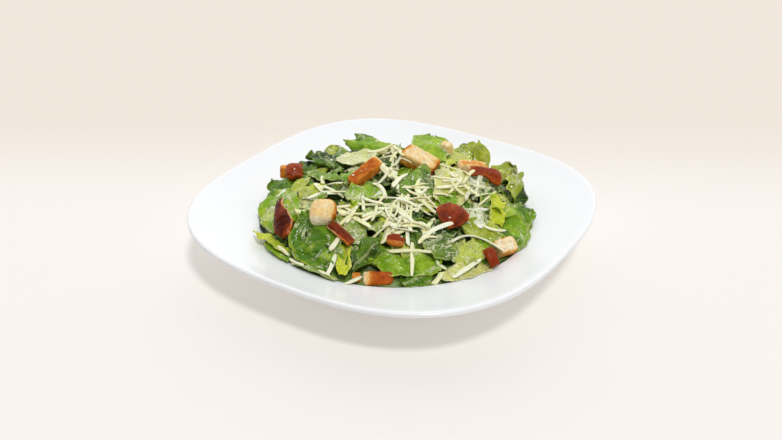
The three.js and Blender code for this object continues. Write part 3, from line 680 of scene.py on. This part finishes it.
def crouton(start, end, width, thickness, roll, lean, power, browned, index):
    start, along, across, facing, length = piece_frame(start, end, roll, lean)
    taper = CROUTON_UNEVEN * (share(index * 5 + 1) - 0.5)
    skew = CROUTON_UNEVEN * (share(index * 5 + 2) - 0.5)
    net, faces = cube_net(CROUTON_MESH)
    size = (np.abs(net) ** power).sum(1, keepdims=True) ** (1 / power)
    u, v, w = (net / size).T
    out = [
        u * length / 2 + skew * v * width / 2,
        -v * width / 2 * (1 + taper * u),
        w * thickness / 2,
    ]
    middle = start + along * length / 2
    points = middle + sum(np.outer(o, way) for o, way in zip(out, (along, across, facing)))
    # each face's share in a point, and from it how brown the point is
    faced = np.clip(np.stack([-u, u, v, -v, w, -w], -1), 0, 1) ** 6
    brown = (faced * browned).sum(1) / faced.sum(1)
    brown = np.minimum(brown, browned[0] + 1.3 * (u + 1))
    corner = np.sort(np.abs(net), axis=1)[:, 1] + 0.08 * swell(points, 6, index + 20)
    brown = np.maximum(brown, np.clip((corner - 0.8) * 2.2, 0, 0.5) * (power > 3))
    outward = points - middle
    outward /= np.linalg.norm(outward, axis=1, keepdims=True)
    rough = 0.45 * swell(points, 7, index + 60) + 0.3 * swell(points, 3.2, index + 80)
    pits = np.clip(swell(points, 2.6, index + 90) - 0.55, 0, 1) * (1 - brown)
    points = points + outward * (rough * 0.6 - 0.9 * pits - 0.2)[:, None]
    return points, faces, {"brown": brown}


toast, shade = new_finish("fried_bread")
crumb = shade.noise(1.5, 5.0)
cloud = shade.noise(6, 4.0)
brown = shade.mark("brown") + (cloud - 0.5) * 0.7 + (crumb - 0.5) * 0.4
face = brown.between(0.1, 0.42).blend(colour("fff2d2"), colour("fbd690"))
face = brown.between(0.4, 0.68).blend(face, colour("e08e30"))
face = brown.between(0.64, 0.95).blend(face, colour("b8520c"))
face = brown.between(0.95, 1.2).blend(face, colour("702e06"))
holes = {"Vector": shade.place(), "Scale": 700.0, "Randomness": 1.0}
pores = shade.node("ShaderNodeTexVoronoi", {}, holes, "Distance").between(0.1, 0.45)
face = ((1 - pores) * 0.22).blend(face, colour("c98a44"))
set_finish(
    toast,
    Base_Color=face,
    Roughness=0.75 - brown.between(0.5, 1.0) * 0.25,
    Normal=shade.bump(crumb * 0.5 + pores * 0.6, 0.7),
    Specular_IOR_Level=0.15,
)
points, faces, marks = join([crouton(*row, n) for n, row in enumerate(CROUTONS)])
food.append((points, faces))
croutons = make_piece("croutons", on_plate(points), faces, toast, marks, 60)
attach(croutons, "root")
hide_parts(*[f"crouton_{n + 1}" for n in range(len(CROUTONS))])

# ------------------------------------------------------------------ bacon
# Smoked bacon, fried crisp and broken up: dark red lean with streaks along the rasher,
# and rinds of fat that the pan has turned amber.

# from end to end, width, thickness, roll, lean, fold, half-widths, and where across it
# the fat lies (beyond -1 or 1 only its inner edge shows) and how wide it is
BACON = [
    ((-83, 24, 56), (-71.5, 25, 57), 17, 7, 20, 0, -0.2, [0.85, 1.0, 0.9, 0.95], (-1.3, 0.2)),
    ((-84, -21, 56), (-77, -55, 45), 17, 4, 10, 0, -0.35, [0.3, 0.35, 0.8, 1.0, 0.3], (-1.05, 0.2)),
    ((-45, -61, 58), (-30, -78, 53), 7, 4, 0, 0, -0.2, [0.9, 1.0, 0.95, 0.8], (1.05, 0.35)),
    (
        (42.5, -42.5, 64), (37, -63, 57), 23, 3.4, 0, 0, -0.25,
        [0.5, 1.0, 0.95, 0.7, 0.12], (-1.5, 0.2),
    ),
    ((57, 11, 65), (80, 12, 58), 14, 3.6, 25, 0, -0.3, [0.7, 0.6, 0.55, 1.0, 0.9], (-1.15, 0.3)),
    ((64, -71, 45), (69, -79, 36), 9, 5, 0, 0, -0.2, [0.8, 1.0, 0.9, 0.7], (1.4, 0.3)),
    ((-5, -76, 55), (6, -78, 54), 9, 5, 0, 0, -0.2, [0.6, 1.0, 0.9, 0.6], (0.9, 0.6)),
]
BACON_ARCH = 0.1
BACON_STEP = 0.5


def rasher(start, end, width, thickness, roll, lean, fold, outline, fat, index):
    start, along, across, facing, length = piece_frame(start, end, roll, lean)
    u, v = sheet_places(int(length / BACON_STEP), int(width / BACON_STEP))
    flat = np.stack([u * length, v * width / 2, 0 * u], -1)
    half = width / 2 * np.interp(u, np.linspace(0, 1, len(outline)), outline)
    half = half * (1 + 0.05 * swell(flat * (1, 0, 0), 5, index + 40))
    ends = 0.4 * swell(flat * (0, 1, 0), 5, index + 50)
    run = u * length + ends
    rise = length * BACON_ARCH * 4 * u * (1 - u) + half * fold * crease(v)
    rise = rise + 0.35 * swell(flat * (0.5, 1, 1), 6, index + 70)
    side = half * v
    middle = start + along * run[..., None] + across * side[..., None] + facing * rise[..., None]
    thin = thickness * (0.55 + 0.45 * (1 - np.abs(v) ** 4) * (1 - np.abs(2 * u - 1) ** 8))
    bumpy = 1 + 0.12 * swell(flat, 3, index + 75)
    points, faces = slab(middle, grid_normals(middle, facing), thin * bumpy)
    place, wide = fat
    white = np.clip(1.4 - np.abs(v - place) / wide, 0, 1)
    edge = np.maximum(np.abs(v), np.abs(2 * u - 1) ** 1.5) ** 3
    tint = 0 * u + share(index + 44)
    marks = {"run": run, "side": side, "fat": white, "edge": edge, "tint": tint}
    return points, faces, {key: np.tile(values.ravel(), 2) for key, values in marks.items()}


fried, shade = new_finish("fried_bacon")
run, side, tint = shade.marks("run side tint")
streak = shade.streaks(run * 0.06, side * 0.35, tint * 40, 3.0)
cloud, grain = shade.noise(9, 3.0), shade.noise(1.6, 5.0)
# Each piece's lean is shifted lighter or darker: partly a random tone, partly painted light that
# brightens the steep piece at the front right
piece_tone_and_light = (tint - 0.2) * 0.3
seared = (cloud * 0.6 + streak * 0.4 + piece_tone_and_light).between(0.36, 0.62)
lean_meat = seared.blend(colour("461002"), colour("8a3004"))
crisp = (shade.mark("edge") * 0.7 + (cloud - 0.5) * 2.4 + piece_tone_and_light).between(0.25, 0.95)
lean_meat = (crisp * 0.85).blend(lean_meat, colour("ac4e12"))
lean_meat = (grain.between(0.55, 0.8) * 0.3).blend(lean_meat, colour("b45e20"))
fatty = (shade.mark("fat") + (cloud - 0.5) * 1.6 + (grain - 0.5) * 0.5).between(0.35, 0.75)
rind = cloud.between(0.35, 0.6).blend(colour("e8b478"), colour("c8742a"))
set_finish(
    fried,
    Base_Color=fatty.blend(lean_meat, rind),
    Roughness=0.34 + grain * 0.2,
    Normal=shade.bump(streak * 0.5 + grain * 0.5 + cloud * 0.9, 0.7),
    Specular_IOR_Level=0.12,
    Coat_Weight=0.08,
    Coat_Roughness=0.12,
)
points, faces, marks = join([rasher(*row, n) for n, row in enumerate(BACON)])
food.append((points, faces))
bacon = make_piece("bacon", on_plate(points), faces, fried, marks, 70)
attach(bacon, "root")
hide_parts(*[f"bacon_{n + 1}" for n in range(len(BACON))])

# ------------------------------------------------------------------ dressing
# Creamy dressing of egg yolk, oil and anchovy, spooned over: a few smears that drape over
# the leaves, and small drops that were flung when the salad was tossed.

SKY = 130.0


def surface(parts):
    """What a thing that is dropped from above would land on."""
    points, faces, _ = join([(*part, {}) for part in parts])
    return BVHTree.FromPolygons(points.tolist(), faces.tolist())


def ground(x, y, trees):
    """The height of the highest thing under a point, or the heap's form where none is."""
    heights = [float(heap_top(x, y)) - CORE_DEPTH]
    for tree in trees:
        hit = tree.ray_cast(Vector((x, y, SKY)), Vector((0, 0, -1)))[0]
        if hit is not None:
            heights.append(hit.z)
    return max(heights)


# middle, half length, half width, turn
SMEARS = [
    (57, -45, 9, 4.4, 100), (58, -36, 9, 2, 15), (56, -8, 6, 3.4, 30), (58, -17, 6, 2.2, 100),
    (52, -27, 5, 1.6, 70), (62, 4, 6, 1.6, 30),
    (-12, -26, 6, 1.6, 40), (22, -58, 7, 1.8, 160), (-84, -2, 6, 1.6, 60),
]
SMEAR_RINGS, SMEAR_ROUND = 7, 36
food_surface = surface(food)


def smear(x, y, long, wide, turn, number):
    ring = np.linspace(0, 1, SMEAR_RINGS)[:, None]
    angle = np.linspace(0, 2 * math.pi, SMEAR_ROUND, endpoint=False)[None, :]
    lobes = 1 + 0.28 * np.sin(3 * angle + 6 * share(number))
    lobes = lobes + 0.2 * np.sin(5 * angle + 6 * share(number + 9))
    px, py = ring * lobes * long * np.cos(angle), ring * lobes * wide * np.sin(angle)
    c, s = outward(math.radians(turn), 1)
    x, y = x + px * c - py * s, y + px * s + py * c
    lie = np.array([ground(a, b, [food_surface]) for a, b in zip(x.ravel(), y.ravel())])
    lie = np.maximum(lie, np.percentile(lie, 60) - 1.5).reshape(x.shape)
    for _ in range(5):
        around = (np.roll(lie, 1, 1) + np.roll(lie, -1, 1)) / 2
        lie[1:-1] = (lie[:-2] + lie[2:] + 2 * around[1:-1]) / 4
    lie[0] = lie[1].mean()
    ripple = 1 + 0.3 * np.sin(2.5 * px) * np.cos(2 * py)
    top = lie - 0.3 + 0.8 * np.sqrt(np.clip(1 - ring**2, 0, 1)) * ripple
    points = np.stack([x, y, top], -1), np.stack([x, y, lie - 0.8], -1)
    points = np.concatenate([p.reshape(-1, 3) for p in points])
    upper = grid_faces(SMEAR_RINGS, SMEAR_ROUND, closed=True)[:, ::-1]
    under = SMEAR_RINGS * SMEAR_ROUND
    last = np.arange(SMEAR_ROUND) + under - SMEAR_ROUND
    following = np.roll(last, -1)
    rim = np.stack([last + under, following + under, following, last], -1)
    return points, np.concatenate([upper, upper[:, ::-1] + under, rim]), {}


def bead(x, y, z, size, number, squash=0.5):
    """A small lump, a little uneven."""
    net, faces = cube_net(4)
    ball = net / np.linalg.norm(net, axis=1, keepdims=True)
    ball = ball * (1 + 0.25 * swell(ball, 1.6, number))[:, None]
    return np.array([x, y, z]) + ball * size * (1, 1, squash), faces, {}


DROPS, DROPS_REACH = 80, 93
drops = []
for k in range(DROPS):
    x, y = strewn_place(k, DROPS, 1000, DROPS_REACH)
    size = 0.4 + 0.9 * share(k + 1100) ** 3
    drops.append(bead(x, y, ground(x, y, [food_surface]), size, k + 1200, 0.3))

creamy, shade = new_finish("creamy_dressing")
cloud = shade.noise(5, 4.0)
set_finish(
    creamy,
    Base_Color=cloud.between(0.3, 0.7).blend(colour("d2d8b0"), colour("f8f8e8")),
    Roughness=0.22 + cloud * 0.1,
    Normal=shade.bump(cloud, 0.6),
    Coat_Weight=0.3,
)
points, faces, _ = join([smear(*row, n * 3) for n, row in enumerate(SMEARS)] + drops)
dressing = make_piece("creamy_dressing", on_plate(points), faces, creamy, {}, 60)
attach(dressing, "root")

# ------------------------------------------------------------------ cheese
# Hard cheese, shredded on a coarse grater and strewn on top. The shreds are stiff: they
# lie on the high spots, cross over each other and span the hollows between.

SHRED_WIDTH, SHRED_THICKNESS = 3.5, 1.1
SMALL_SHRED_WIDTH = 2.3
SHRED_STEPS = 14
# the corners of its cross-section, in half widths and half thicknesses
SHRED_CORNERS = [
    (-1, -0.8), (-0.9, -1), (0.9, -1), (1, -0.8), (1, 0.8), (0.9, 1), (-0.9, 1), (-1, 0.8),
]
STEEPEST_SHRED, HIGHEST_SHRED = 0.5, 77.0

# x and y of one end and of the other, and the sideways bend
SHREDS = [
    (-72, -35, -59, -34, 0), (-64, -21, -42, -17, 0), (-45, -31, -17, -68, 0),
    (-39, -33, -26, -52, 0), (-17, -69, -2, -60, 0), (-23, -57, -2, -62, 11),
    (-26, -38, -34, -61, 0), (-48, -33, -32, -39, 0), (-16, -16, -7, -30, 2),
    (-2, 15, 1, -25, 2), (-11, -2, 3, -10, 0), (-13, -34, 3, -31, 0),
    (-10, -75, 3, -68, 0), (-45, -80, -38, -73, 0), (-46, -93, -40.5, -80, 0),
    (-73.5, -72, -62.5, -83.5, 0), (-55, 8, -45, -16, -3), (-3, 50, -1, -2, 3),
    (-4, 19, -1, -16, 0), (34, 30, 54, 9, 2), (18, -9, 29, -37, -8),
    (15, -50, 31, -39, 7), (5, -28, 4, -67, 1), (-4, -37, 10, -60, 0),
    (-2, -34, 14, -38, 0), (5, -45, 21, -62, -4), (28, -49, 19, -71, 0),
    (19, -75, 40, -62, 4), (16, -80, 29, -70, 2), (12, -74, 11, -98, 0),
    (-4, -73, 14, -61, 0), (8, -62, 9, -77, 0), (-4, -84, 25, -83, 1),
    (30, -21, 50, -14, 2), (60, -31, 75, -7, 0), (50, -17, 62, -23, 0),
    (53, -10, 68, 0, 0), (39, -75, 76, -68, 12), (60, -50, 79, -48, -3),
    (26, -98, 32, -90, 0), (28, -86, 35, -88, 0), (39, -93, 59, -82, 0),
    (14, -24, 8, -37, 0), (-4, -63, 6, -62, 0), (-82, -62.5, -74, -71.5, 0),
    (-52, -90, -44, -94.5, 0), (-34, -101, -23, -95, 0), (-12, -32.5, 14, -38.5, 1),
    (17, -32.5, 31, -44, -2), (20, -34, 26, -25, 0), (-2, 22, 2, 8, 0), (-4, 17, 1, 0, 0),
    (-2, -22, 11, 7, 0), (29, -26, 40, -31, 0), (2, 49, 5, 12, 1), (-23, -60, -9, -48, 1),
    (17, -17, 17, -39, 0), (0, -40, 11, -70, 0), (-11, -1, 0, -5, 0), (58, -28, 73, -4, 0),
]
# More shreds, in the clumps that they fell in: middle, reach and how many. One that would
# cross a crouton or a piece of bacon is left out.
CLUMPS = [
    (-4, 16, 14, 14), (-30, -46, 14, 9), (-4, -48, 15, 14), (7, -58, 14, 14),
    (50, -6, 14, 12), (-51, -12, 12, 6), (15, -32, 15, 12), (-3, 38, 12, 12), (-11, -6, 9, 8),
]
toppings, large_shreds = surface(food[-2:]), len(SHREDS)
strewn = [(x, y, reach, i / count) for x, y, reach, count in CLUMPS for i in range(count)]
for k, (x, y, reach, place) in enumerate(strewn):
    dx, dy = outward(SPIRAL_STEP * k + 2 * share(k + 1500), reach * math.sqrt(place + 0.02))
    x, y = x + dx, y + dy
    turn, size = 6.3 * share(k + 1600), 4.5 + 6 * share(k + 1700)
    dx, dy = outward(turn, size)
    along = [Vector((x + step * dx, y + step * dy, SKY)) for step in (-1.2, -0.6, 0, 0.6, 1.2)]
    if not any(toppings.ray_cast(place, Vector((0, 0, -1)))[0] for place in along):
        SHREDS.append((x - dx, y - dy, x + dx, y + dy, 2 * (share(k + 1800) - 0.5)))


def resting_line(lie, step_length):
    """The heights of a stiff stick that lies on the two high spots about its middle, and
    sags a little where it is far above what is under it."""
    count = len(lie)
    middle = (count - 1) / 2
    spans = [(a, b) for a in range(count // 2) for b in range(count // 2, count)]
    slopes = [(lie[b] - lie[a]) / (b - a) for a, b in spans]
    tops = [lie[a] + slope * (middle - a) for (a, b), slope in zip(spans, slopes)]
    best = int(np.argmax(tops))
    steepest = STEEPEST_SHRED * step_length
    stick = tops[best] + np.clip(slopes[best], -steepest, steepest) * (np.arange(count) - middle)
    gap = np.polyval(np.polyfit(np.arange(count), np.clip(stick - lie, 0, 9), 2), np.arange(count))
    return stick - 0.3 * np.clip(gap, 0, None)


def shred(x1, y1, x2, y2, bend, number, width, trees):
    u = np.linspace(0, 1, SHRED_STEPS)
    length = math.hypot(x2 - x1, y2 - y1)
    off = bend * 4 * u * (1 - u) + 0.012 * length * np.sin(4 * u + number)
    x = x1 + (x2 - x1) * u - (y2 - y1) / length * off
    y = y1 + (y2 - y1) * u + (x2 - x1) / length * off
    lie = np.array([ground(a, b, trees) for a, b in zip(x, y)])
    z = np.minimum(resting_line(lie, length / SHRED_STEPS), HIGHEST_SHRED) + SHRED_THICKNESS / 2
    path = np.stack([x, y, z], -1)
    ahead = np.gradient(path, axis=0)
    ahead /= np.linalg.norm(ahead, axis=1, keepdims=True)
    beside = np.cross(ahead, (0, 0, 1))
    beside /= np.linalg.norm(beside, axis=1, keepdims=True)
    above = np.cross(beside, ahead)
    twist = 0.9 * (share(number + 5) - 0.5) + 0.7 * (share(number + 6) - 0.5) * u
    wide = width / 2 * (0.62 + 0.5 * share(number + 7)) * (1 + 0.09 * np.sin(7 * u + number))
    wide = wide * (1 - 0.3 * share(number + 9) * u**2) * (1 - 0.4 * (2 * np.abs(u - 0.5)) ** 12)
    thick = SHRED_THICKNESS / 2 * (0.7 + 0.5 * share(number + 8)) * (1 - 0.4 * u**6)
    slant = 1.6 * (share(number + 10) - 0.5)
    ring = []
    for a, b in SHRED_CORNERS:
        p, q = wide * a, thick * b
        p, q = p * np.cos(twist) - q * np.sin(twist), p * np.sin(twist) + q * np.cos(twist)
        cut = (a * slant * (2 * np.abs(u - 0.5)) ** 6)[:, None]
        ring.append(path + beside * p[:, None] + above * q[:, None] + ahead * cut)
    points, corners = np.stack(ring, 1).reshape(-1, 3), len(SHRED_CORNERS)
    sides = grid_faces(SHRED_STEPS, corners, closed=True)[:, ::-1]
    cap = np.array([[1, 6, 7, 0], [2, 5, 6, 1], [3, 4, 5, 2]])
    faces = np.concatenate([sides, cap, cap[:, ::-1] + len(points) - corners])
    tint, run = np.full(len(points), share(number + 3)), np.repeat(u * length, corners)
    side = np.tile([-1.0, -0.5, 0.5, 1.0, 1.0, 0.5, -0.5, -1.0], SHRED_STEPS)
    return points, faces, {"tint": tint, "run": run, "side": side}


# The plate is turned back into the diner's layout, so that shreds can also lie on its rim.
seat = plate_points()[0] @ np.array(Matrix.Rotation(SERVING_TURN, 3, "Z"))
food_surface = surface([*food, (seat, faces_of_plate)])
laid, trees = [], [food_surface]
for number, row in enumerate(SHREDS):
    width = SHRED_WIDTH if number < large_shreds else SMALL_SHRED_WIDTH
    laid.append(shred(*row, number * 11, width, trees))
    if number % 12 == 11:
        trees = [food_surface, surface([part[:2] for part in laid])]
    else:
        trees.append(surface([laid[-1][:2]]))

CRUMBS, CRUMBS_REACH = 70, 86
for k in range(CRUMBS):
    x, y = strewn_place(k, CRUMBS, 2000, CRUMBS_REACH, 0.6)
    size = 0.5 + 0.7 * share(k + 2100) ** 2
    points, faces, _ = bead(x, y, ground(x, y, [food_surface]) + 0.4 * size, size, k + 2200, 0.8)
    plain = np.zeros(len(points))
    laid.append((points, faces, {"tint": plain + share(k + 2300), "run": plain, "side": plain}))

hard_cheese, shade = new_finish("hard_cheese")
cloud, grain = shade.noise(4, 3.0), shade.noise(0.9, 3.0)
run, side, tint = shade.marks("run side tint")
fibres = shade.streaks(run * 0.12, side * 1.3, tint * 60, 4.0, size=312.5)
ivory = (tint * 0.6 + cloud * 0.5).between(0.2, 0.9)
ivory = ivory.blend(colour("f4f0b8"), colour("fefbe0"))
ivory = (fibres.between(0.5, 0.7) * 0.3).blend(ivory, colour("e8e4a0"))
set_finish(
    hard_cheese,
    Base_Color=(grain.between(0.5, 0.9) * 0.2).blend(ivory, colour("e8de9c")),
    Roughness=0.45 + grain * 0.15,
    Normal=shade.bump(grain * 0.4 + fibres + cloud * 0.5, 0.4),
    Subsurface_Weight=0.15,
    Subsurface_Scale=0.002,
)
points, faces, marks = join(laid)
cheese = make_piece("shredded_cheese", on_plate(points), faces, hard_cheese, marks, 60)
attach(cheese, "root")

# ------------------------------------------------------------------ table, light and camera
# A cream paper sweep that is lit from below, so that only the lamp's own shadow shows on
# it. The lamp is high in front and a little to the right, the room is bright behind, and
# a long lens looks down at the plate from the diner's side.

FLOOR_HALF = 6.0
floor_mesh = bpy.data.meshes.new("floor")
corners = FLOOR_HALF * np.array([(-1, -1, 0), (1, -1, 0), (1, 1, 0), (-1, 1, 0)])
floor_mesh.from_pydata(corners.tolist(), [], [(0, 1, 2, 3)])
paper, shade = new_finish("cream_paper")
turned = {"Rotation": (0, 0, -SERVING_TURN), "Vector": shade.place()}
behind = shade.node("ShaderNodeMapping", {}, turned)
behind = shade.node("ShaderNodeSeparateXYZ", {}, {0: behind}, "Y")
# The paper's colour and its glow grow darker towards the back: a painted falloff of light
set_finish(
    paper,
    Base_Color=behind.between(0.06, 0.26).blend(colour("cac6c3"), colour("c3bdb5")),
    Emission_Color=behind.between(0.06, 0.26).blend(colour("9b9791"), colour("958c82")),
    Emission_Strength=1.0,
    Roughness=0.9,
    Specular_IOR_Level=0.1,
)
floor_mesh.materials.append(paper)
floor = bpy.data.objects.new("floor", floor_mesh)
bpy.context.collection.objects.link(floor)

ROOM_FROM = (0, 0.84, 0.54)
ROOM_LOW, ROOM_HIGH = (0.16, 0.165, 0.17), (1.17, 1.17, 1.175)
world = bpy.data.worlds.new("studio")
bpy.context.scene.world = world
world.use_nodes = True
room = Shade(world.node_tree)
bright_side = {0: room.node("ShaderNodeTexCoord"), 1: tuple(on_plate(ROOM_FROM))}
up = room.node("ShaderNodeVectorMath", {"operation": "DOT_PRODUCT"}, bright_side, "Value")
background = world.node_tree.nodes["Background"]
room.feed(background.inputs["Color"], up.between(0.0, 0.95).blend(ROOM_LOW, ROOM_HIGH))
background.inputs["Strength"].default_value = 1.0

LAMP_FROM = (0.155, -0.5, 0.852)
lamp = bpy.data.lights.new("lamp", "SUN")
lamp.energy, lamp.angle = 1.62, math.radians(9)
holder = bpy.data.objects.new("lamp", lamp)
holder.rotation_mode = "QUATERNION"
holder.rotation_quaternion = Vector(on_plate(LAMP_FROM)).to_track_quat("Z", "Y")
bpy.context.collection.objects.link(holder)

CAMERA_PLACE = (-2.966, -691.896, 412.798)
CAMERA_DOWN = math.radians(29.087)
CAMERA_ROLL = math.radians(0.339)
lens = bpy.data.cameras.new("camera")
lens.sensor_width, lens.lens = 36, 47.88
lens.clip_start, lens.clip_end = 0.01, 100
camera = bpy.data.objects.new("camera", lens)
bpy.context.collection.objects.link(camera)
ahead = np.array([0, math.cos(CAMERA_DOWN), -math.sin(CAMERA_DOWN)])
level, upward = np.array([1, 0, 0]), np.array([0, math.sin(CAMERA_DOWN), math.cos(CAMERA_DOWN)])
tilt_c, tilt_s = math.cos(CAMERA_ROLL), math.sin(CAMERA_ROLL)
right = tilt_c * level + tilt_s * upward
above = tilt_c * upward - tilt_s * level
axes = on_plate(np.stack([right, above, -ahead]))
camera.matrix_world = Matrix.Translation(on_plate(CAMERA_PLACE) / 1000) @ Matrix(axes.T).to_4x4()
bpy.context.scene.camera = camera
bpy.context.scene.view_settings.view_transform = "Standard"
